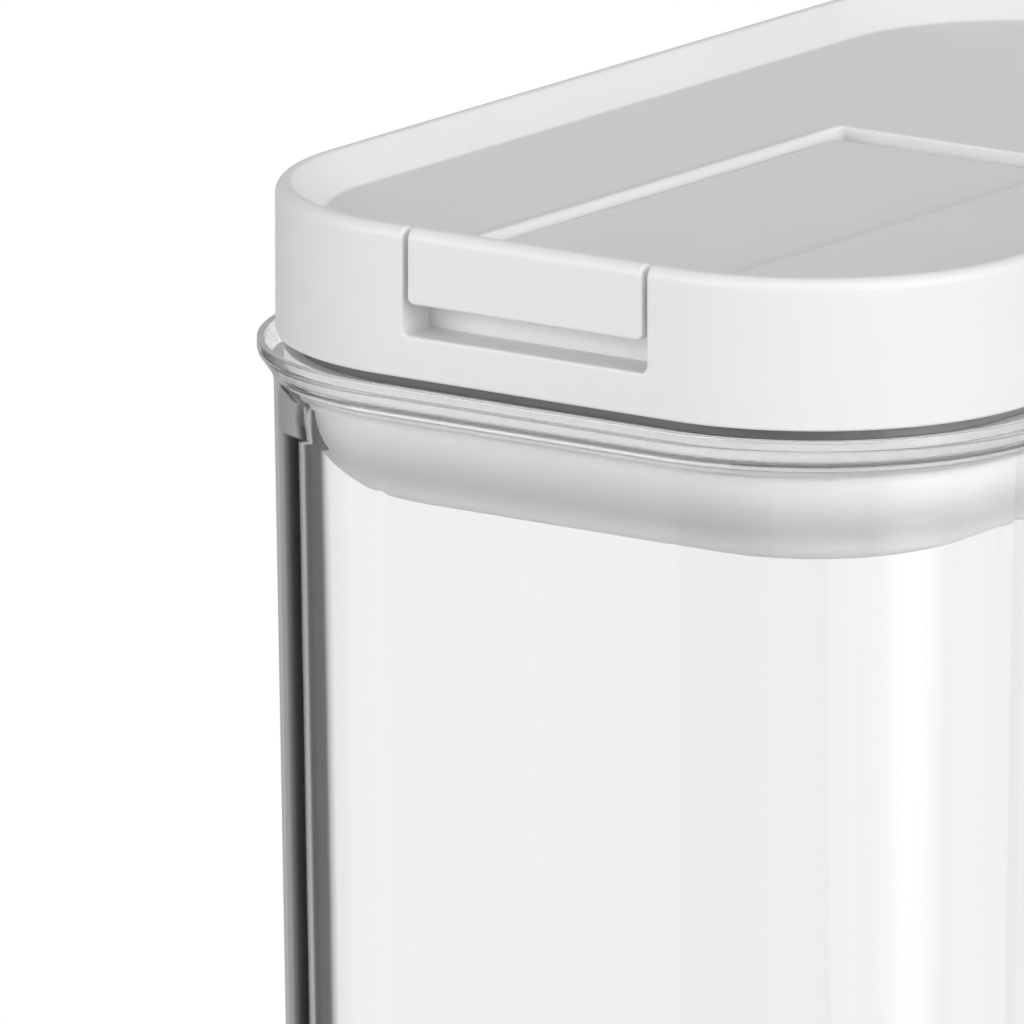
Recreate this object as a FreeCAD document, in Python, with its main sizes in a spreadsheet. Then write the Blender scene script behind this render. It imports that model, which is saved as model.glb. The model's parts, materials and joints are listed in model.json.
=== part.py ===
# Food storage jar: a clear drafted jar under a white lid with a flip-up pour flap.
# Millimetres, +Z up, origin at the bottom centre, the flap's tab at the front (-Y).

import FreeCAD, Part
import math
import os
import re
import Sketcher

document = FreeCAD.newDocument("food_storage_jar")

# Driving sizes, in millimetres, with the one angle in degrees.
# An inset is measured inward from the lid's outline.
SIZES = {
    # Lid cover
    "lid_width": 80.0,
    "lid_depth": 128.0,
    "lid_corner": 23.5,
    "lid_height": 14.3,
    "skirt_wall": 1.8,
    "rim_crest": 1.5,
    "rim_slope": 3.0,
    "deck_drop": 3.0,
    "deck_thickness": 2.0,
    "crest_round": 1.1,
    "crest_inner_round": 0.6,
    "deck_round": 0.6,
    "edge_round": 0.3,
    "rib_inset": 4.8,
    "rib_wall": 1.6,
    "rib_reach": 4.0,
    # Jar
    "rim_height": 163.0,
    "rim_gap": 2.7,
    "jar_inset": -0.2,
    "jar_wall": 2.2,
    "jar_floor": 3.0,
    "jar_draft": 0.91,
    "base_round": 6.0,
    "base_recess": 0.8,
    "foot_width": 4.0,
    "cavity_round": 5.0,
    "land_width": 1.6,
    "land_lap": 0.2,
    "funnel_depth": 6.0,
    "funnel_round": 3.0,
    "lip_reach": 1.75,
    "lip_rise": 2.2,
    "lip_drop": 1.2,
    "lip_edge": 1.2,
    "lip_wall": 0.65,
    "lip_bend": 1.0,
    "gutter_depth": 0.95,
    "gutter_bend": 0.3,
    "lip_round": 0.2,
    "flare_round": 3.0,
    # Plug liner and its seal
    "liner_inset": 3.0,
    "liner_wall": 1.7,
    "liner_head": 1.5,
    "liner_reach": 0.8,
    "liner_round": 8.0,
    "liner_flange": 1.0,
    "shoulder_inset": 2.0,
    "ledge_thickness": 1.4,
    "groove_depth": 0.6,
    "groove_reach": 4.6,
    "seal_thickness": 1.4,
    "seal_inset": 0.8,
    "seal_gap": 0.3,
    "seal_lip_drop": 3.4,
    "lip_root_height": 1.0,
    "lip_tip_height": 0.5,
    # Flap well, finger recess and pour mouth
    "well_width": 27.8,
    "well_wall": 1.6,
    "well_corner": 0.6,
    "recess_height": 3.0,
    "recess_depth": 4.4,
    "recess_corner": 0.8,
    "mouth_width": 20.0,
    "mouth_corner": 6.0,
    "mouth_setback": 8.6,
    "mouth_hinge_gap": 13.9,
    "collar_wall": 1.4,
    "collar_reach": 2.0,
    # Flap, hinge and flap seal
    "flap_gap": 0.6,
    "flap_length": 70.5,
    "flap_drop": 0.9,
    "flap_thickness": 2.4,
    "flap_corner": 2.2,
    "tab_height": 7.2,
    "tab_thickness": 1.8,
    "tab_corner": 0.7,
    "hinge_radius": 1.6,
    "hinge_gap": 0.7,
    "hinge_floor_gap": 0.3,
    "barrel_round": 1.5,
    "plug_wall": 1.2,
    "plug_reach": 3.4,
    "flap_seal_wall": 0.9,
    "flap_seal_reach": 2.0,
    "flap_seal_flange": 1.2,
    # Hinge pins
    "pin_radius": 0.75,
    "pin_fit": 0.02,
    "pin_clearance": 0.06,
    "pin_engagement": 4.5,
    "pin_chamfer": 0.2,
    "ear_width": 4.0,
    "ear_length": 5.0,
    # Flat left beside a large rounding, overlap that joins pieces of one solid, and overrun of a cut
    "round_margin": 0.1,
    "join_overlap": 0.8,
    "cut_overrun": 1.0,
}

# Levels and positions worked out from the sizes.
PLACES = {
    "skirt_level": "rim_height + rim_gap",
    "crest_level": "skirt_level + lid_height",
    "deck_level": "crest_level - deck_drop",
    "deck_under": "deck_level - deck_thickness",
    "deck_inset": "rim_crest + rim_slope",
    "crest_limit": "min(crest_round; rim_crest - crest_inner_round / 2 - round_margin)",
    "rib_inner": "rib_inset + rib_wall",
    "rib_level": "skirt_level - rib_reach",
    "jar_slant": "tan(jar_draft)",
    "base_inset": "jar_inset + rim_height * jar_slant",
    "foot_inner": "base_inset + base_round + foot_width",
    "flare_inset": "jar_inset + lip_drop * jar_slant",
    "lip_level": "rim_height + lip_rise",
    "bore_inset": "jar_inset + jar_wall + funnel_depth * jar_slant",
    "floor_inset": "jar_inset + jar_wall + (rim_height - jar_floor) * jar_slant",
    "funnel_inset": "jar_inset + land_width",
    "funnel_run": "(bore_inset - funnel_inset) / funnel_depth",
    "liner_inner": "liner_inset + liner_wall",
    "ledge_under": "rib_level - ledge_thickness",
    "liner_level": "ledge_under - liner_reach - liner_round",
    "flange_inset": "liner_inset + liner_round + liner_flange",
    "groove_inset": "liner_inset + groove_depth",
    "groove_level": "skirt_level - groove_reach",
    "seal_level": "rim_height + seal_thickness",
    "front": "-lid_depth / 2",
    "flap_top": "deck_level - flap_drop",
    "flap_under": "flap_top - flap_thickness",
    "flap_width": "well_width - 2 * flap_gap",
    "flap_slope": "(crest_level - flap_top) * rim_slope / deck_drop",
    "tab_level": "crest_level - tab_height",
    "hinge_place": "front + flap_length - hinge_radius",
    "hinge_level": "flap_top - hinge_radius",
    "hinge_under": "hinge_level - hinge_radius",
    "barrel_limit": "min(barrel_round; hinge_radius - round_margin)",
    "well_back": "front + flap_length + hinge_gap",
    "well_floor": "hinge_under - hinge_floor_gap",
    "well_under": "well_floor - well_wall",
    "recess_floor": "tab_level - recess_height",
    "recess_back": "front + recess_depth",
    "mouth_length": "hinge_place - mouth_hinge_gap - recess_back - mouth_setback",
    "mouth_place": "recess_back + mouth_setback + mouth_length / 2",
    "flap_seal_inner": "seal_gap + flap_seal_wall",
    "plug_inner": "flap_seal_inner + plug_wall",
    "pin_length": "ear_width + flap_gap + pin_engagement",
}

sizes = document.addObject("Spreadsheet::Sheet", "sizes")
for row, (alias, size) in enumerate(SIZES.items(), start=1):
    sizes.set(f"A{row}", alias)
    sizes.set(f"B{row}", str(size))
    sizes.setAlias(f"B{row}", alias)
document.recompute()


def spelled_out(text):
    """Return an expression on the sheet's cells, with every place replaced by its own expression."""
    def swap(match):
        word = match.group()
        if word in SIZES:
            return f"sizes.{word}"
        if word in PLACES:
            return f"({spelled_out(PLACES[word])})"
        return word
    return re.sub(r"[a-z_]+", swap, text)


def value(text):
    """Work an expression out to a number."""
    return float(sizes.evalExpression(spelled_out(text)))


def bind(item, field, text):
    """Tie one property or constraint to the sheet."""
    item.setExpression(field, spelled_out(text))


# Sketches
def new_body(label):
    """Start the body of one piece."""
    body = document.addObject("PartDesign::Body", label)
    body.Label = label
    return body


def new_sketch(body, plane_role, offset="0"):
    """Add a sketch on one of the body's own origin planes, moved along the plane's normal."""
    plane = next(item for item in body.Origin.OriginFeatures if item.Role == plane_role)
    sketch = body.newObject("Sketcher::SketchObject", f"{body.Label}_sketch")
    sketch.AttachmentSupport = [(plane, "")]
    sketch.MapMode = "FlatFace"
    bind(sketch, "AttachmentOffset.Base.z", offset)
    return sketch


def tie(sketch, kind, geometry, point, text):
    """Add one distance or radius to a sketch and tie it to the sheet."""
    if kind == "Radius":
        index = sketch.addConstraint(Sketcher.Constraint(kind, geometry, value(text)))
    else:
        index = sketch.addConstraint(Sketcher.Constraint(kind, geometry, point, value(text)))
    bind(sketch, f"Constraints[{index}]", text)


def corner_arc(before, corner, after, radius):
    """Find the arc that rounds a corner: its two ends in order, and its circle's centre."""
    toward_before = (before - corner).normalize()
    toward_after = (after - corner).normalize()
    half_angle = toward_before.getAngle(toward_after) / 2
    setback = radius / math.tan(half_angle)
    bisector = (toward_before + toward_after).normalize()
    centre = corner + bisector * (radius / math.sin(half_angle))
    return corner + toward_before * setback, corner + toward_after * setback, centre


def draw_outline(sketch, corners):
    """Draw a closed outline from corners (across, up, rounding radius), every corner tied to the sheet."""
    points = [FreeCAD.Vector(value(across), value(up), 0) for across, up, rounding in corners]
    count = len(points)
    starts = list(points)
    ends = list(points)
    centres = {}
    for index, (across, up, rounding) in enumerate(corners):
        if rounding:
            following = points[(index + 1) % count]
            arc = corner_arc(points[index - 1], points[index], following, value(rounding))
            ends[index], starts[index], centres[index] = arc
    lines = []
    for index in range(count):
        line = Part.LineSegment(starts[index], ends[(index + 1) % count])
        lines.append(sketch.addGeometry(line, False))
    for index, (across, up, rounding) in enumerate(corners):
        incoming = lines[index - 1]
        outgoing = lines[index]
        if not rounding:
            sketch.addConstraint(Sketcher.Constraint("Coincident", incoming, 2, outgoing, 1))
            tie(sketch, "DistanceX", outgoing, 1, across)
            tie(sketch, "DistanceY", outgoing, 1, up)
            continue
        spoke_in = ends[index] - centres[index]
        spoke_out = starts[index] - centres[index]
        turns_left = spoke_in.cross(spoke_out).z > 0
        first, last = (spoke_in, spoke_out) if turns_left else (spoke_out, spoke_in)
        circle = Part.Circle(centres[index], FreeCAD.Vector(0, 0, 1), value(rounding))
        span = (math.atan2(first.y, first.x), math.atan2(last.y, last.x))
        arc = sketch.addGeometry(Part.ArcOfCircle(circle, *span), False)
        arc_in, arc_out = (1, 2) if turns_left else (2, 1)
        corner = sketch.addGeometry(Part.Point(points[index]), True)
        sketch.addConstraint(Sketcher.Constraint("Tangent", incoming, 2, arc, arc_in))
        sketch.addConstraint(Sketcher.Constraint("Tangent", arc, arc_out, outgoing, 1))
        sketch.addConstraint(Sketcher.Constraint("PointOnObject", corner, 1, incoming))
        sketch.addConstraint(Sketcher.Constraint("PointOnObject", corner, 1, outgoing))
        tie(sketch, "DistanceX", corner, 1, across)
        tie(sketch, "DistanceY", corner, 1, up)
        tie(sketch, "Radius", arc, 1, rounding)


def draw_box(sketch, left, right, near, far, rounding=None):
    """Draw a rectangle, with its corners rounded where a radius is named."""
    draw_outline(sketch, [
        (left, near, rounding),
        (right, near, rounding),
        (right, far, rounding),
        (left, far, rounding),
    ])


def draw_lid_outline(sketch, inset):
    """Draw the lid's rounded rectangle, moved inward by an inset."""
    draw_box(
        sketch,
        f"{inset} - lid_width / 2",
        f"lid_width / 2 - ({inset})",
        f"{inset} - lid_depth / 2",
        f"lid_depth / 2 - ({inset})",
        f"lid_corner - ({inset})",
    )


def draw_mouth_outline(sketch, inset):
    """Draw the pour mouth's rounded rectangle, moved inward by an inset."""
    draw_box(
        sketch,
        f"{inset} - mouth_width / 2",
        f"mouth_width / 2 - ({inset})",
        f"mouth_place - mouth_length / 2 + ({inset})",
        f"mouth_place + mouth_length / 2 - ({inset})",
        f"mouth_corner - ({inset})",
    )


def hinge_hole(body, radius, offset="0"):
    """Draw a circle about the hinge axis."""
    sketch = new_sketch(body, "YZ_Plane", offset)
    centre = FreeCAD.Vector(value("hinge_place"), value("hinge_level"), 0)
    circle = sketch.addGeometry(Part.Circle(centre, FreeCAD.Vector(0, 0, 1), value(radius)), False)
    tie(sketch, "DistanceX", circle, 3, "hinge_place")
    tie(sketch, "DistanceY", circle, 3, "hinge_level")
    tie(sketch, "Radius", circle, 3, radius)
    return sketch


# Solid features
def add_pad(body, sketch, length, reverse=False, both_ways=False):
    """Raise a sketch along its normal, against it, or half each way."""
    pad = body.newObject("PartDesign::Pad", f"{body.Label}_pad")
    pad.Profile = sketch
    pad.Midplane = both_ways
    pad.Reversed = reverse
    bind(pad, "Length", length)
    document.recompute()
    return pad


def add_pocket(body, sketch, length, reverse=False, both_ways=False):
    """Cut a sketch against its normal, along it, or half each way."""
    pocket = body.newObject("PartDesign::Pocket", f"{body.Label}_pocket")
    pocket.Profile = sketch
    pocket.Midplane = both_ways
    pocket.Reversed = reverse
    bind(pocket, "Length", length)
    document.recompute()
    return pocket


def add_sweep(body, profile, path):
    """Carry a profile round a closed rounded rectangle."""
    sweep = body.newObject("PartDesign::AdditivePipe", f"{body.Label}_sweep")
    document.recompute()
    sweep.Profile = profile
    sweep.Spine = (path, [f"Edge{number}" for number in range(1, len(path.Shape.Edges) + 1)])
    sweep.Mode = "Standard"
    document.recompute()
    return sweep


def add_lid_sweep(body, corners):
    """Sweep a section round the lid's outline: corners are (inset, level, rounding radius)."""
    path = new_sketch(body, "XY_Plane", "skirt_level")
    draw_lid_outline(path, "0")
    profile = new_sketch(body, "XZ_Plane")
    outline = [(f"lid_width / 2 - ({inset})", level, rounding) for inset, level, rounding in corners]
    draw_outline(profile, outline)
    return add_sweep(body, profile, path)


def add_fillet(body, feature, radius, chosen):
    """Round the edges of a feature that a test picks out."""
    numbered = enumerate(feature.Shape.Edges, start=1)
    names = [f"Edge{number}" for number, edge in numbered if chosen(edge.BoundBox)]
    fillet = body.newObject("PartDesign::Fillet", f"{body.Label}_fillet")
    fillet.Base = (feature, names)
    bind(fillet, "Radius", radius)
    document.recompute()
    return fillet


TOLERANCE = 1e-3


def same(first, second):
    """Tell whether two lengths agree."""
    return abs(first - second) < TOLERANCE


# Jar: one swept section for foot, wall, flared rim and lead-in funnel, and a plate for the sunk floor.
jar_body = new_body("jar_body")
add_lid_sweep(jar_body, [
    ("foot_inner", "0", "lip_round"),
    ("base_inset", "0", "base_round"),
    ("flare_inset", "rim_height - lip_drop", "flare_round"),
    ("-lip_reach", "lip_level - lip_edge", "lip_bend"),
    ("-lip_reach", "lip_level", "lip_round"),
    ("lip_wall - lip_reach", "lip_level", "lip_round"),
    ("lip_wall - lip_reach", "lip_level - gutter_depth", "gutter_bend"),
    ("jar_inset - land_lap", "rim_height", "lip_round"),
    ("funnel_inset", "rim_height", "lip_round"),
    ("bore_inset", "rim_height - funnel_depth", "funnel_round"),
    ("floor_inset", "jar_floor", "cavity_round"),
    ("foot_inner", "jar_floor", None),
])
floor_sketch = new_sketch(jar_body, "XY_Plane", "base_recess")
draw_lid_outline(floor_sketch, "foot_inner - join_overlap")
add_pad(jar_body, floor_sketch, "jar_floor - base_recess")

# Lid cover: swept rim, skirt and liner rib, and a plate for the deck.
lid_cover = new_body("lid_cover")
add_lid_sweep(lid_cover, [
    ("0", "skirt_level", "edge_round"),
    ("0", "crest_level", "crest_limit"),
    ("rim_crest", "crest_level", "crest_inner_round"),
    ("deck_inset", "deck_level", "deck_round"),
    ("rib_inner", "deck_level", None),
    ("rib_inner", "rib_level", None),
    ("rib_inset", "rib_level", None),
    ("rib_inset", "deck_under", None),
    ("skirt_wall", "deck_under", None),
    ("skirt_wall", "skirt_level", "edge_round"),
])
deck_sketch = new_sketch(lid_cover, "XY_Plane", "deck_under")
draw_lid_outline(deck_sketch, "rib_inner - join_overlap")
add_pad(lid_cover, deck_sketch, "deck_thickness")

# Blocks under the deck that the flap well and the finger recess are cut into.
well_block = new_sketch(lid_cover, "XY_Plane", "deck_under + join_overlap")
draw_box(well_block, "-well_width / 2 - well_wall", "well_width / 2 + well_wall",
         "recess_back", "well_back + well_wall")
add_pad(lid_cover, well_block, "deck_under + join_overlap - well_under", reverse=True)
recess_block = new_sketch(lid_cover, "XY_Plane", "deck_under + join_overlap")
draw_box(recess_block, "-well_width / 2 - well_wall", "well_width / 2 + well_wall",
         "front + skirt_wall - join_overlap", "recess_back + well_wall")
add_pad(lid_cover, recess_block, "deck_under + join_overlap - recess_floor + well_wall", reverse=True)
for side in ("-", ""):
    ear_sketch = new_sketch(lid_cover, "XY_Plane", "deck_under + join_overlap")
    near_edge = f"{side}(well_width / 2 + join_overlap)"
    far_edge = f"{side}(well_width / 2 + ear_width)"
    edges = (far_edge, near_edge) if side else (near_edge, far_edge)
    draw_box(ear_sketch, *edges, "hinge_place - ear_length / 2", "hinge_place + ear_length / 2")
    add_pad(lid_cover, ear_sketch, "deck_under + join_overlap - well_under", reverse=True)
collar_sketch = new_sketch(lid_cover, "XY_Plane", "well_under + join_overlap")
draw_mouth_outline(collar_sketch, "-collar_wall")
add_pad(lid_cover, collar_sketch, "collar_reach + join_overlap", reverse=True)

# Cuts from the front and the top: tab slot with the finger recess, flap well, pour mouth, pin holes.
slot_sketch = new_sketch(lid_cover, "XZ_Plane", "cut_overrun - front")
draw_outline(slot_sketch, [
    ("-well_width / 2", "recess_floor", "recess_corner"),
    ("well_width / 2", "recess_floor", "recess_corner"),
    ("well_width / 2", "crest_level + cut_overrun", None),
    ("-well_width / 2", "crest_level + cut_overrun", None),
])
add_pocket(lid_cover, slot_sketch, "recess_depth + cut_overrun")
well_sketch = new_sketch(lid_cover, "XY_Plane", "crest_level + cut_overrun")
draw_outline(well_sketch, [
    ("-well_width / 2", "recess_back - cut_overrun", None),
    ("well_width / 2", "recess_back - cut_overrun", None),
    ("well_width / 2", "well_back", "well_corner"),
    ("-well_width / 2", "well_back", "well_corner"),
])
add_pocket(lid_cover, well_sketch, "crest_level + cut_overrun - well_floor")
mouth_sketch = new_sketch(lid_cover, "XY_Plane", "well_floor + cut_overrun")
draw_mouth_outline(mouth_sketch, "0")
add_pocket(lid_cover, mouth_sketch, "well_wall + collar_reach + 2 * cut_overrun")
cover_cut = add_pocket(lid_cover, hinge_hole(lid_cover, "pin_radius + pin_fit"),
                       "well_width + 2 * ear_width + cut_overrun", both_ways=True)


def on_opening(box):
    """Tell whether an edge bounds the slot, the recess or the well on the outside of the cover."""
    half_width = value("well_width / 2")
    deck = value("deck_level")
    within = box.XMin > -half_width - TOLERANCE and box.XMax < half_width + TOLERANCE
    on_side = same(box.XLength, 0) and same(abs(box.XMin), half_width)
    at_front = same(box.YMin, value("front")) and same(box.YMax, value("front"))
    over_deck = box.ZMin > deck - TOLERANCE
    level_with_deck = same(box.ZLength, 0) and same(box.ZMin, deck)
    return within and (at_front or (on_side and over_deck) or level_with_deck)


def on_mouth(box):
    """Tell whether an edge is the upper edge of the pour mouth."""
    half_width = value("mouth_width / 2")
    half_length = value("mouth_length / 2")
    middle = value("mouth_place")
    within = box.XMin > -half_width - TOLERANCE and box.XMax < half_width + TOLERANCE
    along = box.YMin > middle - half_length - TOLERANCE and box.YMax < middle + half_length + TOLERANCE
    return within and along and same(box.ZLength, 0) and same(box.ZMin, value("well_floor"))


opening_fillet = add_fillet(lid_cover, cover_cut, "edge_round", on_opening)
add_fillet(lid_cover, opening_fillet, "edge_round", on_mouth)

# Plug liner: hangs in the jar's mouth and turns in at the bottom, with a ledge under the cover's rib
# and a groove round the outside for the seal.
lid_liner = new_body("lid_liner")
add_lid_sweep(lid_liner, [
    ("shoulder_inset", "seal_level", None),
    ("shoulder_inset", "skirt_level + liner_head", None),
    ("liner_inner", "skirt_level + liner_head", None),
    ("liner_inner", "rib_level", None),
    ("rib_inner", "rib_level", None),
    ("rib_inner", "ledge_under", "edge_round"),
    ("liner_inner", "ledge_under", "edge_round"),
    ("liner_inner", "liner_level + liner_wall", "liner_round - liner_wall"),
    ("flange_inset", "liner_level + liner_wall", "edge_round"),
    ("flange_inset", "liner_level", "edge_round"),
    ("liner_inset", "liner_level", "liner_round"),
    ("liner_inset", "groove_level", None),
    ("groove_inset", "groove_level", None),
    ("groove_inset", "seal_level", None),
])

# Lid seal: a flange on the jar's rim and a lip that reaches toward the funnel.
lip_tip_inset = "funnel_inset + funnel_run * (seal_lip_drop - rim_gap) + seal_gap"
lid_seal = new_body("lid_seal")
add_lid_sweep(lid_seal, [
    ("seal_inset", "rim_height", None),
    ("seal_inset", "seal_level", None),
    ("groove_inset", "seal_level", None),
    ("groove_inset", "groove_level", None),
    ("liner_inset", "groove_level", None),
    ("liner_inset", "skirt_level - seal_lip_drop - lip_root_height / 2", None),
    (lip_tip_inset, "skirt_level - seal_lip_drop - lip_tip_height / 2", None),
    (lip_tip_inset, "skirt_level - seal_lip_drop + lip_tip_height / 2", None),
    ("liner_inset", "skirt_level - seal_lip_drop + lip_root_height / 2", None),
    ("liner_inset", "rim_height", None),
])

# Pour flap: a side section with tab, rim profile and hinge barrel, and the plug ring under it.
pour_flap = new_body("pour_flap")
flap_section = new_sketch(pour_flap, "YZ_Plane")
draw_outline(flap_section, [
    ("front", "tab_level", None),
    ("front + tab_thickness", "tab_level", None),
    ("front + tab_thickness", "flap_under", "edge_round"),
    ("hinge_place - hinge_radius - flap_under + hinge_under", "flap_under", "deck_round"),
    ("hinge_place - hinge_radius", "hinge_under", "deck_round"),
    ("hinge_place + hinge_radius", "hinge_under", "barrel_limit"),
    ("hinge_place + hinge_radius", "flap_top", "barrel_limit"),
    ("front + rim_crest + flap_slope", "flap_top", "deck_round"),
    ("front + rim_crest", "crest_level", "crest_inner_round"),
    ("front", "crest_level", "crest_limit"),
])
flap_pad = add_pad(pour_flap, flap_section, "flap_width", both_ways=True)


def on_tab_corner(box):
    """Tell whether an edge is one of the tab's two lower corners, which run front to back."""
    at_level = same(box.ZMin, value("tab_level")) and same(box.ZMax, value("tab_level"))
    return at_level and same(box.XLength, 0) and same(box.YLength, value("tab_thickness"))


def on_flap_side(box):
    """Tell whether an edge bounds a side of the flap, or the foot of its tab."""
    half_width = value("flap_width / 2")
    corner_top = value("tab_level + tab_corner")
    flat_side = same(box.XLength, 0) and same(abs(box.XMin), half_width)
    smooth_join = same(box.ZLength, 0) and same(box.ZMin, corner_top)
    tab_foot = same(box.YLength, 0) and box.ZMax < corner_top + TOLERANCE
    return (flat_side and not smooth_join) or tab_foot


tab_fillet = add_fillet(pour_flap, flap_pad, "tab_corner", on_tab_corner)
add_fillet(pour_flap, tab_fillet, "edge_round", on_flap_side)
for side in ("-", ""):
    trim_sketch = new_sketch(pour_flap, "XY_Plane", "flap_top + cut_overrun")
    draw_outline(trim_sketch, [
        (f"{side}(flap_width / 2)", "front + flap_length", "flap_corner"),
        (f"{side}(flap_width / 2)", "front + flap_length - flap_corner - cut_overrun", None),
        (f"{side}(flap_width / 2 + cut_overrun)", "front + flap_length - flap_corner - cut_overrun", None),
        (f"{side}(flap_width / 2 + cut_overrun)", "front + flap_length + cut_overrun", None),
        (f"{side}(flap_width / 2 - flap_corner - cut_overrun)", "front + flap_length + cut_overrun", None),
        (f"{side}(flap_width / 2 - flap_corner - cut_overrun)", "front + flap_length", None),
    ])
    add_pocket(pour_flap, trim_sketch, "2 * hinge_radius + 2 * cut_overrun")
plug_sketch = new_sketch(pour_flap, "XY_Plane", "flap_under + join_overlap")
draw_mouth_outline(plug_sketch, "flap_seal_inner")
draw_mouth_outline(plug_sketch, "plug_inner")
add_pad(pour_flap, plug_sketch, "plug_reach + join_overlap", reverse=True)
add_pocket(pour_flap, hinge_hole(pour_flap, "pin_radius + pin_clearance"),
           "flap_width + cut_overrun", both_ways=True)

# Flap seal: a sleeve round the plug with a flange that closes on the floor of the well.
flap_seal = new_body("flap_seal")
mouth_path = new_sketch(flap_seal, "XY_Plane", "flap_under")
draw_mouth_outline(mouth_path, "0")
seal_section = new_sketch(flap_seal, "XZ_Plane", "-mouth_place")
draw_outline(seal_section, [
    ("mouth_width / 2 - seal_gap", "well_floor - flap_seal_reach", "lip_round"),
    ("mouth_width / 2 - seal_gap", "well_floor", None),
    ("mouth_width / 2 + flap_seal_flange", "well_floor", "lip_round"),
    ("mouth_width / 2 + flap_seal_flange", "flap_under", None),
    ("mouth_width / 2 - flap_seal_inner", "flap_under", None),
    ("mouth_width / 2 - flap_seal_inner", "well_floor - flap_seal_reach", "lip_round"),
])
add_sweep(flap_seal, seal_section, mouth_path)

# Hinge pins: pressed into the ears of the cover, the flap turns on their inner ends.
pins = []
for label, side, inward in (("hinge_pin_left", "-", False), ("hinge_pin_right", "", True)):
    pin = new_body(label)
    pin_circle = hinge_hole(pin, "pin_radius", f"{side}(well_width / 2 + ear_width)")
    pin_pad = add_pad(pin, pin_circle, "pin_length", reverse=inward)
    chamfer = pin.newObject("PartDesign::Chamfer", f"{label}_chamfer")
    numbered = enumerate(pin_pad.Shape.Edges, start=1)
    rims = [f"Edge{number}" for number, edge in numbered if same(edge.BoundBox.XLength, 0)]
    chamfer.Base = (pin_pad, rims)
    bind(chamfer, "Size", "pin_chamfer")
    document.recompute()
    pins.append(pin)

# Write every piece.
pieces = [jar_body, lid_cover, lid_liner, lid_seal, pour_flap, flap_seal, *pins]
os.makedirs("parts", exist_ok=True)
for piece in pieces:
    for item in piece.Group:
        if "Invalid" in item.State or "Error" in item.State:
            raise RuntimeError(f"{item.Name} of {piece.Label} did not compute: {item.State}")
    if not piece.Shape.isValid() or len(piece.Shape.Solids) != 1:
        raise RuntimeError(f"{piece.Label} is not one valid solid")
    piece.Shape.exportStep(f"parts/{piece.Label}.step")
    print(piece.Label, "volume", round(piece.Shape.Volume), "cubic millimetres")
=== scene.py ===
# %% [markdown]
# # A clear storage jar with a pouring lid
# The CAD model already has the true shapes: a clear box-shaped jar, a white lid with a hinged
# pour flap, the plug that goes into the mouth, its silicone rings and two steel pins.
# This lesson loads that model as a fixed frame, sets up a camera and a plain studio round it,
# and then works through the finishes one by one.

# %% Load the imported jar
import json
import math

import bmesh
import bpy
from mathutils import Matrix, Vector


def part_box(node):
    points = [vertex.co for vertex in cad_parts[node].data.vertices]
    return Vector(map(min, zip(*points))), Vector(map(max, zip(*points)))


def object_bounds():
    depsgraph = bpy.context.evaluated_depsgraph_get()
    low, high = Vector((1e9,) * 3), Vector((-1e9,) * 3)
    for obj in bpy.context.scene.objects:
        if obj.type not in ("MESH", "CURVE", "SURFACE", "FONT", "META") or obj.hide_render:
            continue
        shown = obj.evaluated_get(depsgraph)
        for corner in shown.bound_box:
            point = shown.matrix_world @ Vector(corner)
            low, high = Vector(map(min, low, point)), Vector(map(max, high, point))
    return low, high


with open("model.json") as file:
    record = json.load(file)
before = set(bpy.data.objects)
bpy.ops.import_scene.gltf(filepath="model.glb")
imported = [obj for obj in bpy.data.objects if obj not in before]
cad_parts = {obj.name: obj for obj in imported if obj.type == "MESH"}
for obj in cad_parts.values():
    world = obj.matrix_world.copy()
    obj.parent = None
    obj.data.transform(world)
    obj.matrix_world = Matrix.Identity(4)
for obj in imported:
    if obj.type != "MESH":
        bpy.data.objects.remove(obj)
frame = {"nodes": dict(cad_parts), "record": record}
cad_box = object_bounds()
print("CAD box in millimetres:", [round(1000 * side, 2) for side in cad_box[1] - cad_box[0]])

# %% [markdown]
# ## The camera
# Product pictures of this kind are taken from far away with a long lens, so that upright edges
# stay upright and parallel. The camera is described by how far it has turned round the jar, how
# high it looks from, and which point of the jar lies in the middle of the picture. Three unit
# vectors (right, up and back) then give its rotation directly, without any Euler angles.

# %% Set up the camera
AZIMUTH = math.radians(35.66)
ELEVATION = math.radians(13.29)
IMAGE_PIXELS = 1024
FOCAL_PIXELS = 24002
SENSOR_WIDTH = 36
CAMERA_DISTANCE = 2.2668
AIM_LEFT = 0.03835
AIM_DOWN = 0.03643

right = Vector((math.cos(AZIMUTH), math.sin(AZIMUTH), 0))
back = Vector((
    math.sin(AZIMUTH) * math.cos(ELEVATION),
    -math.cos(AZIMUTH) * math.cos(ELEVATION),
    math.sin(ELEVATION),
))
up = back.cross(right)
crest_middle = Vector((0, 0, cad_box[1].z))
camera_spot = crest_middle - AIM_LEFT * right - AIM_DOWN * up + CAMERA_DISTANCE * back
camera_turn = Matrix((right, up, back)).transposed().to_4x4()

camera = bpy.data.objects.new("camera", bpy.data.cameras.new("camera"))
camera.data.sensor_width = SENSOR_WIDTH
camera.data.lens = FOCAL_PIXELS / IMAGE_PIXELS * SENSOR_WIDTH
camera.matrix_world = Matrix.Translation(camera_spot) @ camera_turn
bpy.context.scene.collection.objects.link(camera)
bpy.context.scene.camera = camera
bpy.context.scene.view_settings.view_transform = "Standard"
print("camera at", [round(part, 3) for part in camera_spot], "lens", round(camera.data.lens, 1))

# %% [markdown]
# ## Helpers for shader nodes
# Every finish is a small node tree. A few helpers keep the cells short: one adds a node and sets
# its properties, one joins two sockets, one feeds a socket with another socket or with a plain
# number, one does a sum, and one splits a vector into its three parts.

# %% Node helpers
def add_node(tree, kind, **settings):
    made = tree.nodes.new("ShaderNode" + kind)
    for name, setting in settings.items():
        setattr(made, name, setting)
    return made


def join(tree, source, target):
    tree.links.new(source, target)


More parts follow.
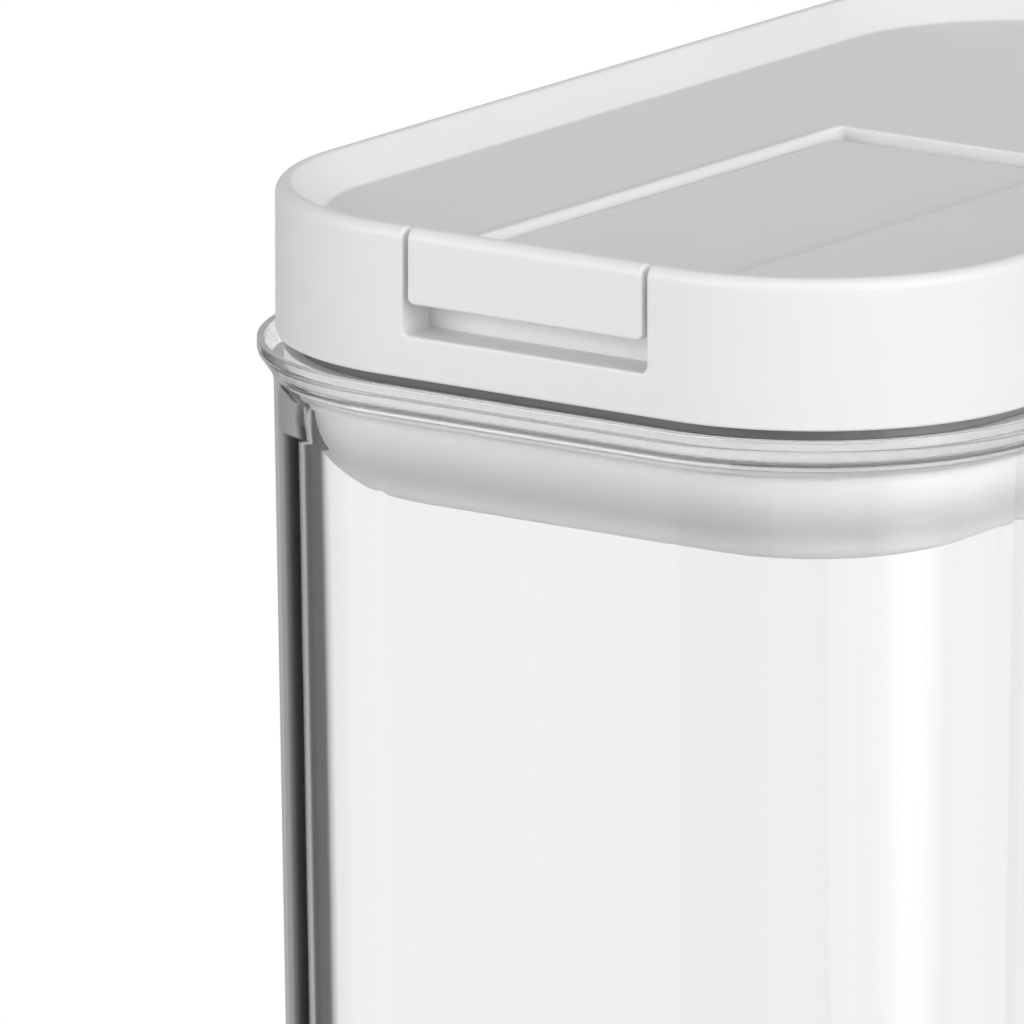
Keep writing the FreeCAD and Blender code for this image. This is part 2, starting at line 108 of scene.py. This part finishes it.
def feed(tree, given, socket):
    if isinstance(given, bpy.types.NodeSocket):
        join(tree, given, socket)
    else:
        socket.default_value = given


def calculate(tree, operation, first, second=0.0):
    made = add_node(tree, "Math", operation=operation)
    feed(tree, first, made.inputs[0])
    feed(tree, second, made.inputs[1])
    return made.outputs[0]


def split(tree, vector):
    made = add_node(tree, "SeparateXYZ")
    join(tree, vector, made.inputs[0])
    return made.outputs


print("helpers ready")

# %% [markdown]
# ## What the clear walls see
# Clear plastic has no colour of its own: it shows the room. Behind the jar stands a white board
# with a dark gap on each side, and beyond the gaps the walls are white. Straight through the
# flat walls the camera sees the board, and at a rounded corner the wall bends the view sideways
# into a gap, which draws the dark outline that every clear jar has in a studio. Rays that were
# mirrored on the way see a ring of grey boards with soft slopes instead, the same on every side.
# Both are cosines of the heading. A ray that climbs steeply sees the pale ceiling.

# %% Measures of the board, the ring and the ceiling
CAMERA_HEADING = AZIMUTH
WHOLE_TURN = 2 * math.pi
BOARD_PERIOD = math.radians(45)
BOARD_TURN = math.radians(0.4)
GAP_LEVEL = 0.17
EDGE_SOFTNESS = 0.2
WALL_EDGE = (math.cos(math.radians(24)), math.cos(math.radians(19)))
MIRROR_PERIOD = math.radians(90)
MIRROR_POWER = 3.0
MIRROR_GAIN = 1.6
MIRROR_DARK = 0.015
MIRROR_WHITE = 0.42
CEILING_LEVEL = 0.6
CEILING_EDGE = (0.25, 0.6)


def ramp(tree, source, source_range, target_range, smooth=True):
    made = add_node(tree, "MapRange")
    made.interpolation_type = "SMOOTHSTEP" if smooth else "LINEAR"
    made.inputs["From Min"].default_value, made.inputs["From Max"].default_value = source_range
    made.inputs["To Min"].default_value, made.inputs["To Max"].default_value = target_range
    join(tree, source, made.inputs["Value"])
    return made.outputs[0]


def ring_wave(tree, heading, turn, period):
    from_middle = calculate(tree, "ADD", heading, turn - CAMERA_HEADING)
    return calculate(tree, "COSINE", calculate(tree, "MULTIPLY", from_middle, WHOLE_TURN / period))


def blend(tree, share, first, second):
    made = add_node(tree, "Mix", data_type="FLOAT")
    feed(tree, share, made.inputs[0])
    feed(tree, first, made.inputs[2])
    feed(tree, second, made.inputs[3])
    return made.outputs[0]


print("the white board is", round(math.degrees(BOARD_PERIOD / 2), 1), "degrees wide")

# %% [markdown]
# ## The world
# One background does two jobs. For camera rays, mirror rays and see-through rays it shows the
# white backdrop and the boards. For the light that it sheds on the jar it is a soft grey, paler
# above than below, so that the lamps can model the shapes. Light Path tells the rays apart: a
# ray that has left a matt surface gathers light, even if it passes through the clear wall later.

# %% Build the world
FILL_ABOVE = 0.265
FILL_BELOW = 0.24
FILL_EDGE = 0.3

world = bpy.data.worlds.new("studio")
world.use_nodes = True
tree = world.node_tree
tree.nodes.clear()
ray = split(tree, add_node(tree, "TexCoord").outputs["Generated"])
leftward = calculate(tree, "MULTIPLY", ray["X"], -1.0)
heading = calculate(tree, "ARCTAN2", leftward, ray["Y"])

board_wave = ring_wave(tree, heading, BOARD_TURN, BOARD_PERIOD)
board_light = ramp(tree, board_wave, (-EDGE_SOFTNESS, EDGE_SOFTNESS), (GAP_LEVEL, 1.0))
wall_wave = ring_wave(tree, heading, 0.0, WHOLE_TURN)
wall_light = ramp(tree, wall_wave, WALL_EDGE, (1.0, 0.0))
through_light = calculate(tree, "MAXIMUM", board_light, wall_light)

mirror_wave = ring_wave(tree, heading, 0.0, MIRROR_PERIOD)
raised = ramp(tree, mirror_wave, (-1.0, 1.0), (0.0, 1.0), smooth=False)
sloped = calculate(tree, "POWER", raised, MIRROR_POWER)
mirror_light = calculate(tree, "MULTIPLY", sloped, MIRROR_GAIN)
mirror_light = calculate(tree, "MAXIMUM", mirror_light, MIRROR_DARK)
mirror_light = calculate(tree, "MINIMUM", mirror_light, MIRROR_WHITE)

path = add_node(tree, "LightPath").outputs
was_mirrored = calculate(tree, "MINIMUM", path["Glossy Depth"], 1.0)
room_light = blend(tree, was_mirrored, through_light, mirror_light)
climbs = ramp(tree, ray["Z"], CEILING_EDGE, (0.0, 1.0))
room_light = blend(tree, climbs, room_light, CEILING_LEVEL)
seen_light = calculate(tree, "MAXIMUM", room_light, path["Is Camera Ray"])

camera_or_mirror = calculate(tree, "MAXIMUM", path["Is Camera Ray"], path["Is Glossy Ray"])
looks = calculate(tree, "MAXIMUM", camera_or_mirror, path["Is Transmission Ray"])
only_looks = calculate(tree, "LESS_THAN", path["Diffuse Depth"], looks)
fill_light = ramp(tree, ray["Z"], (-FILL_EDGE, FILL_EDGE), (FILL_BELOW, FILL_ABOVE))
background = add_node(tree, "Background")
background.inputs["Color"].default_value = (1, 1, 1, 1)
join(tree, blend(tree, only_looks, fill_light, seen_light), background.inputs["Strength"])
join(tree, background.outputs[0], add_node(tree, "OutputWorld").inputs[0])
bpy.context.scene.world = world
print("world nodes:", len(tree.nodes))

# %% [markdown]
# ## The floor
# A pale table top takes the jar's soft shadow. It is a plain disc, and away from the jar its
# paint thins out into nothing, so that the white of the world shows and no horizon line does.

# %% Make the floor
FLOOR_RADIUS = 0.45
FLOOR_SIDES = 96
FLOOR_DROP = 0.0003
FADE_START = 0.14
FADE_END = 0.34
FLOOR_COLOUR = (0.86, 0.86, 0.87)
FLOOR_ROUGHNESS = 0.7

floor_shape = bmesh.new()
bmesh.ops.create_circle(floor_shape, cap_ends=True, segments=FLOOR_SIDES, radius=FLOOR_RADIUS)
bmesh.ops.translate(floor_shape, verts=floor_shape.verts, vec=(0, 0, -FLOOR_DROP))
floor_mesh = bpy.data.meshes.new("floor")
floor_shape.to_mesh(floor_mesh)
floor_shape.free()
floor = bpy.data.objects.new("floor", floor_mesh)
bpy.context.scene.collection.objects.link(floor)

floor_paint = bpy.data.materials.new("floor_paint")
floor_paint.use_nodes = True
tree = floor_paint.node_tree
tree.nodes.clear()
away = add_node(tree, "VectorMath", operation="LENGTH")
join(tree, add_node(tree, "TexCoord").outputs["Object"], away.inputs[0])
fade = ramp(tree, away.outputs["Value"], (FADE_START, FADE_END), (0.0, 1.0))
matt = add_node(tree, "BsdfPrincipled")
matt.inputs["Base Color"].default_value = (*FLOOR_COLOUR, 1)
matt.inputs["Roughness"].default_value = FLOOR_ROUGHNESS
nothing = add_node(tree, "BsdfTransparent")
to_nothing = add_node(tree, "MixShader")
join(tree, fade, to_nothing.inputs[0])
join(tree, matt.outputs[0], to_nothing.inputs[1])
join(tree, nothing.outputs[0], to_nothing.inputs[2])
join(tree, to_nothing.outputs[0], add_node(tree, "OutputMaterial").inputs[0])
floor_mesh.materials.append(floor_paint)
print("floor radius", FLOOR_RADIUS)

# %% [markdown]
# ## The lamps
# Two large soft boxes light the whole jar. The main one stands to the right and only a little
# higher than the lid, so the upright right side comes out brightest, and its spread is narrowed,
# which makes it fade towards its edges: the rounded corner of the jar then carries a broad
# highlight without hard borders. The other one stands at the front left.
# The clear wall keeps much of their light from the plug inside it, so a third lamp is linked to
# the plug alone and lights it from the right. A fourth one lights the back, for the views from
# behind, and is hidden from mirrored and see-through rays, because it would shine through the jar.

# %% Hang the lamps
LAMP_AIM = Vector((0, 0, 0.15))


def hang_lamp(name, towards, distance, size, watts, spread=180):
    lamp = bpy.data.lights.new(name, "AREA")
    lamp.spread = math.radians(spread)
    lamp.shape = "RECTANGLE"
    lamp.size, lamp.size_y = size
    lamp.energy = watts
    holder = bpy.data.objects.new(name, lamp)
    direction = Vector(towards).normalized()
    turn = direction.to_track_quat("Z", "Y").to_matrix().to_4x4()
    holder.matrix_world = Matrix.Translation(LAMP_AIM + distance * direction) @ turn
    holder.visible_camera = False
    bpy.context.scene.collection.objects.link(holder)
    print(name, "gives", watts, "watts")
    return holder


hang_lamp("side_lamp", (0.96, -0.144, 0.33), distance=1.5, size=(2.2, 2.2), watts=12.0, spread=80)
hang_lamp("front_lamp", (-0.45, -0.85, 0.20), distance=1.7, size=(1.6, 1.0), watts=16.2)
plug_lamp = hang_lamp("plug_lamp", (1.0, 0.0, 0.25), distance=1.5, size=(0.8, 0.8), watts=22.0)
plug_only = bpy.data.collections.new("plug_only")
plug_only.objects.link(frame["nodes"]["lid_liner"])
plug_lamp.light_linking.receiver_collection = plug_only
back_lamp = hang_lamp("back_lamp", (-0.55, 0.83, 0.08), distance=1.7, size=(1.6, 1.0), watts=12.0)
back_lamp.visible_glossy = False
back_lamp.visible_transmission = False

# %% [markdown]
# ## Noise and colour for the finishes
# No moulding is perfectly even. A noise texture on Object coordinates stays fixed to the piece.
# The scale is in cycles per metre, so 1 / 0.0004 gives grains of 0.4 mm. Other helpers turn a
# noise into a fine bump, mix two shades by a share, or tint the shades with one more colour where
# a share says so.

# %% Noise and colour helpers
NOISE_SPAN = (0.3, 0.7)


def add_noise(tree, vector, grain, detail=2.0, roughness=0.5):
    made = add_node(tree, "TexNoise")
    made.inputs["Scale"].default_value = 1 / grain
    made.inputs["Detail"].default_value = detail
    made.inputs["Roughness"].default_value = roughness
    join(tree, vector, made.inputs["Vector"])
    return made.outputs[0]


def add_bump(tree, height, strength, distance):
    made = add_node(tree, "Bump")
    made.inputs["Strength"].default_value = strength
    made.inputs["Distance"].default_value = distance
    join(tree, height, made.inputs["Height"])
    return made.outputs[0]


def add_shades(tree, share, first, second):
    made = add_node(tree, "Mix", data_type="RGBA")
    made.inputs[6].default_value = (*first, 1)
    made.inputs[7].default_value = (*second, 1)
    join(tree, share, made.inputs[0])
    return made.outputs[2]


def add_tint(tree, share, shades, colour):
    made = add_node(tree, "Mix", data_type="RGBA")
    join(tree, share, made.inputs[0])
    join(tree, shades, made.inputs[6])
    made.inputs[7].default_value = (*colour, 1)
    return made.outputs[2]


def new_finish(name):
    finish = bpy.data.materials.new(name)
    finish.use_nodes = True
    tree = finish.node_tree
    return finish, tree, tree.nodes["Principled BSDF"], add_node(tree, "TexCoord").outputs["Object"]


print("noise and colour helpers ready")

# %% [markdown]
# ## Clear plastic
# The jar is one polished clear moulding, so a Principled shader with full transmission bends
# light as the real wall does. A slow noise moves the surface a little, as the flow of plastic in
# a mould does, and another moves the gloss. The foot ring is scuffed where it slides on shelves.
# Glass that is traced this way throws a black shadow, so shadow rays are let straight through.
# Light that is mirrored again and again inside the wall is cut off by the renderer, so where a ray
# has been mirrored several times the wall glows with a painted soft grey, the light it would have
# found in the end.

# %% Clear plastic
FLOW_GRAIN = 0.03
GLOSS_GRAIN = 0.012
GLOSS_ROUGHNESS = (0.008, 0.022)
SCUFF_GRAIN = 0.0011
SCUFF_TOP = 0.0025
SCUFF_SPAN = (0.45, 0.7)
SCUFF_ROUGHNESS = 0.35
TRAPPED_BOUNCES = 3.5
TRAPPED_LIGHT = 0.19

clear_plastic, tree, clear, spot = new_finish("clear_plastic_polished")
clear.inputs["Base Color"].default_value = (0.998, 0.999, 1.0, 1)
clear.inputs["IOR"].default_value = 1.5
clear.inputs["Transmission Weight"].default_value = 1.0
gloss = ramp(tree, add_noise(tree, spot, GLOSS_GRAIN), NOISE_SPAN, GLOSS_ROUGHNESS)
near_shelf = ramp(tree, split(tree, spot)["Z"], (0.0, SCUFF_TOP), (1.0, 0.0))
scuff_noise = add_noise(tree, spot, SCUFF_GRAIN, detail=4.0)
scuffs = ramp(tree, scuff_noise, SCUFF_SPAN, (0.0, SCUFF_ROUGHNESS))
scuffed = calculate(tree, "MULTIPLY", near_shelf, scuffs)
join(tree, calculate(tree, "ADD", gloss, scuffed), clear.inputs["Roughness"])
flow = add_bump(tree, add_noise(tree, spot, FLOW_GRAIN), strength=0.02, distance=0.001)
join(tree, flow, clear.inputs["Normal"])

path = add_node(tree, "LightPath").outputs
# Painted glow: the clear wall emits a soft grey where a ray has been mirrored more than three
# times, in place of the light cut off there.
trapped = calculate(tree, "GREATER_THAN", path["Glossy Depth"], TRAPPED_BOUNCES)
clear.inputs["Emission Color"].default_value = (1, 1, 1, 1)
join(tree, calculate(tree, "MULTIPLY", trapped, TRAPPED_LIGHT), clear.inputs["Emission Strength"])
lets_through = add_node(tree, "BsdfTransparent")
lets_through.inputs["Color"].default_value = (0.93, 0.935, 0.94, 1)
shadow_mix = add_node(tree, "MixShader")
join(tree, path["Is Shadow Ray"], shadow_mix.inputs[0])
join(tree, clear.outputs[0], shadow_mix.inputs[1])
join(tree, lets_through.outputs[0], shadow_mix.inputs[2])
join(tree, shadow_mix.outputs[0], tree.nodes["Material Output"].inputs[0])
print("clear plastic nodes:", len(tree.nodes))

# %% [markdown]
# ## White plastic
# Lid and flap are satin mouldings. The mould was spark-eroded very finely, which leaves a grain
# of a few tenths of a millimetre that only shows as softness. The colour drifts slightly with
# the flow of the plastic, the gloss is patchy, and hands have polished the raised rim. Along the
# flap's well the deck's edge carries a faint painted shade line, a darker colour that stands in
# for the shadow at the step. It is placed by its distance from the well's side, from the deck's
# level and from the well's two ends.

# %% White plastic
GRAIN = 0.0004
DRIFT_GRAIN = 0.04
PATCH_GRAIN = 0.006
SATIN_ROUGHNESS = (0.4, 0.52)
RIM_TOP = cad_box[1].z
RIM_BAND = 0.0012
RIM_POLISH = 0.78
FLAP_GAP = 0.0006
SHADE_LINE_SOFTNESS = 0.0004
SHADE_LINE_REACH = 0.0016
SHADE_LINE_COLOUR = (0.78, 0.783, 0.79)
flap_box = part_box("pour_flap")
WELL_SIDE = flap_box[1].x + FLAP_GAP
WELL_BACK = flap_box[1].y
SHADE_LINE_START = flap_box[0].y + 0.004
SHADE_LINE_FULL = flap_box[0].y + 0.007
deck_mount = next(mount for mount in frame["record"]["mounts"] if mount["name"] == "stacking_deck")
DECK_LEVEL = deck_mount["pos_m"][2]

white_plastic, tree, satin, spot = new_finish("white_plastic_satin")
drift = ramp(tree, add_noise(tree, spot, DRIFT_GRAIN), NOISE_SPAN, (0.0, 1.0))
shades = add_shades(tree, drift, (0.855, 0.86, 0.87), (0.872, 0.876, 0.884))
axes = split(tree, spot)
aside = calculate(tree, "SUBTRACT", calculate(tree, "ABSOLUTE", axes["X"]), WELL_SIDE)
off_deck = calculate(tree, "ABSOLUTE", calculate(tree, "SUBTRACT", axes["Z"], DECK_LEVEL))
# Painted shade: a darker line along the well's sides stands in for the shadow at the deck's step.
painted_shade_line = ramp(tree, aside, (-SHADE_LINE_SOFTNESS, 0.0), (0.0, 1.0))
for limit in (
    ramp(tree, aside, (SHADE_LINE_SOFTNESS, SHADE_LINE_REACH), (1.0, 0.0)),
    ramp(tree, off_deck, (SHADE_LINE_SOFTNESS / 2, SHADE_LINE_SOFTNESS), (1.0, 0.0)),
    ramp(tree, axes["Y"], (0.0, WELL_BACK), (1.0, 0.0)),
    ramp(tree, axes["Y"], (SHADE_LINE_START, SHADE_LINE_FULL), (0.0, 1.0)),
):
    painted_shade_line = calculate(tree, "MULTIPLY", painted_shade_line, limit)
join(tree, add_tint(tree, painted_shade_line, shades, SHADE_LINE_COLOUR), satin.inputs["Base Color"])
patches = ramp(tree, add_noise(tree, spot, PATCH_GRAIN, detail=3.0), NOISE_SPAN, SATIN_ROUGHNESS)
polish = ramp(tree, axes["Z"], (RIM_TOP - RIM_BAND, RIM_TOP), (1.0, RIM_POLISH))
join(tree, calculate(tree, "MULTIPLY", patches, polish), satin.inputs["Roughness"])
grain_noise = add_noise(tree, spot, GRAIN, detail=1.0)
join(tree, add_bump(tree, grain_noise, strength=0.06, distance=0.0001), satin.inputs["Normal"])
satin.inputs["Subsurface Weight"].default_value = 0.15
satin.inputs["Subsurface Radius"].default_value = (1.0, 1.0, 1.0)
satin.inputs["Subsurface Scale"].default_value = 0.0015
print("white plastic nodes:", len(tree.nodes))

# %% [markdown]
# ## Frosted plastic
# The plug that goes into the mouth is thin and unpigmented, so it is milky: light enters and
# wanders before it comes out. A subsurface share gives that, and a satin surface with a fine
# grain hides what is behind it. Its shoulder sits deep in the slot under the lid's skirt, and
# a dark colour is painted there as the slot's shadow. Towards its foot the colour is greyer, a
# painted shade for the light that the thin wall lets through rather than sends back, and at the
# foot's edge it is pale, a painted light where the white room shines through.

# %% Frosted plastic
SLOT_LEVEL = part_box("lid_seal")[1].z
SLOT_SHADE_FADE = 0.0006
SLOT_SHADE_COLOUR = (0.16, 0.163, 0.168)
PLUG_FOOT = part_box("lid_liner")[0].z
FOOT_EDGE_BAND = 0.0042
FOOT_SHADE_REACH = 0.0095
FOOT_SHADE_COLOUR = (0.5, 0.504, 0.513)
FOOT_LIGHT_COLOUR = (0.97, 0.972, 0.975)
MILKY_ROUGHNESS = (0.28, 0.38)

frosted_plastic, tree, milky, spot = new_finish("frosted_plastic_milky")
drift = ramp(tree, add_noise(tree, spot, DRIFT_GRAIN), NOISE_SPAN, (0.0, 1.0))
shades = add_shades(tree, drift, (0.67, 0.675, 0.685), (0.70, 0.705, 0.712))
level = split(tree, spot)["Z"]
# Painted shade: the colour turns greyer towards the plug's foot.
painted_foot_shade = ramp(tree, level, (PLUG_FOOT + FOOT_EDGE_BAND, PLUG_FOOT + FOOT_SHADE_REACH), (1.0, 0.0))
shades = add_tint(tree, painted_foot_shade, shades, FOOT_SHADE_COLOUR)
# Painted light: the colour turns pale at the foot's edge, where the white room shines through.
painted_foot_light = ramp(tree, level, (PLUG_FOOT, PLUG_FOOT + FOOT_EDGE_BAND), (1.0, 0.0))
shades = add_tint(tree, painted_foot_light, shades, FOOT_LIGHT_COLOUR)
# Painted shadow: the shoulder's colour goes dark inside the slot under the skirt.
painted_slot_shade = ramp(tree, level, (SLOT_LEVEL - SLOT_SHADE_FADE, SLOT_LEVEL), (0.0, 1.0))
shades = add_tint(tree, painted_slot_shade, shades, SLOT_SHADE_COLOUR)
join(tree, shades, milky.inputs["Base Color"])
patches = ramp(tree, add_noise(tree, spot, PATCH_GRAIN, detail=3.0), NOISE_SPAN, MILKY_ROUGHNESS)
join(tree, patches, milky.inputs["Roughness"])
grain_noise = add_noise(tree, spot, GRAIN, detail=1.0)
join(tree, add_bump(tree, grain_noise, strength=0.08, distance=0.0001), milky.inputs["Normal"])
milky.inputs["Subsurface Weight"].default_value = 0.9
milky.inputs["Subsurface Radius"].default_value = (1.0, 1.0, 1.0)
milky.inputs["Subsurface Scale"].default_value = 0.004
print("frosted plastic nodes:", len(tree.nodes))

# %% [markdown]
# ## Silicone
# Both seals are soft and slightly cloudy. Silicone has a dry, dull skin that picks up fine dust,
# so its roughness is high and speckled, and a faint sheen stands for the dust.

# %% Silicone
DUST_GRAIN = 0.0006
DUST_SPAN = (0.35, 0.75)
DUSTY_ROUGHNESS = (0.5, 0.68)

silicone, tree, soft, spot = new_finish("silicone_soft")
specks = ramp(tree, add_noise(tree, spot, DUST_GRAIN, detail=4.0), DUST_SPAN, (0.0, 1.0))
shades = add_shades(tree, specks, (0.66, 0.663, 0.67), (0.70, 0.703, 0.71))
join(tree, shades, soft.inputs["Base Color"])
join(tree, ramp(tree, specks, (0.0, 1.0), DUSTY_ROUGHNESS), soft.inputs["Roughness"])
join(tree, add_bump(tree, specks, strength=0.05, distance=0.0001), soft.inputs["Normal"])
soft.inputs["Subsurface Weight"].default_value = 0.3
soft.inputs["Subsurface Radius"].default_value = (1.0, 1.0, 1.0)
soft.inputs["Subsurface Scale"].default_value = 0.002
soft.inputs["Sheen Weight"].default_value = 0.08
soft.inputs["Sheen Roughness"].default_value = 0.4
print("silicone nodes:", len(tree.nodes))

# %% [markdown]
# ## Drawn steel
# The hinge pins are cut from drawn wire, whose fine lines run along its length. Noise that is
# stretched along X gives those lines, in the gloss and in a shallow bump.

# %% Drawn steel
LINE_GRAIN = 0.00008
LINE_STRETCH = 0.02
LINE_ROUGHNESS = (0.2, 0.38)

pin_steel, tree, drawn, spot = new_finish("pin_steel_drawn")
stretch = add_node(tree, "Mapping")
stretch.inputs["Scale"].default_value = (LINE_STRETCH, 1.0, 1.0)
join(tree, spot, stretch.inputs["Vector"])
lines = add_noise(tree, stretch.outputs[0], LINE_GRAIN, detail=3.0)
shades = add_shades(tree, lines, (0.55, 0.55, 0.56), (0.68, 0.68, 0.68))
join(tree, shades, drawn.inputs["Base Color"])
drawn.inputs["Metallic"].default_value = 1.0
join(tree, ramp(tree, lines, NOISE_SPAN, LINE_ROUGHNESS), drawn.inputs["Roughness"])
join(tree, add_bump(tree, lines, strength=0.1, distance=0.00005), drawn.inputs["Normal"])
print("steel nodes:", len(tree.nodes))

# %% [markdown]
# ## Putting the finishes on
# Every CAD node comes with a slot named for its finish. Only the material in the slot is
# exchanged, so the shapes stay exactly as they came from model.glb.

# %% Give each piece its finish
finishes = {
    "clear_plastic": clear_plastic,
    "white_plastic": white_plastic,
    "frosted_plastic": frosted_plastic,
    "silicone": silicone,
    "pin_steel": pin_steel,
}
for name, node in frame["nodes"].items():
    for finish_slot in node.material_slots:
        finish_slot.material = finishes[finish_slot.material.name]
    print(name, "has", node.material_slots[0].material.name)
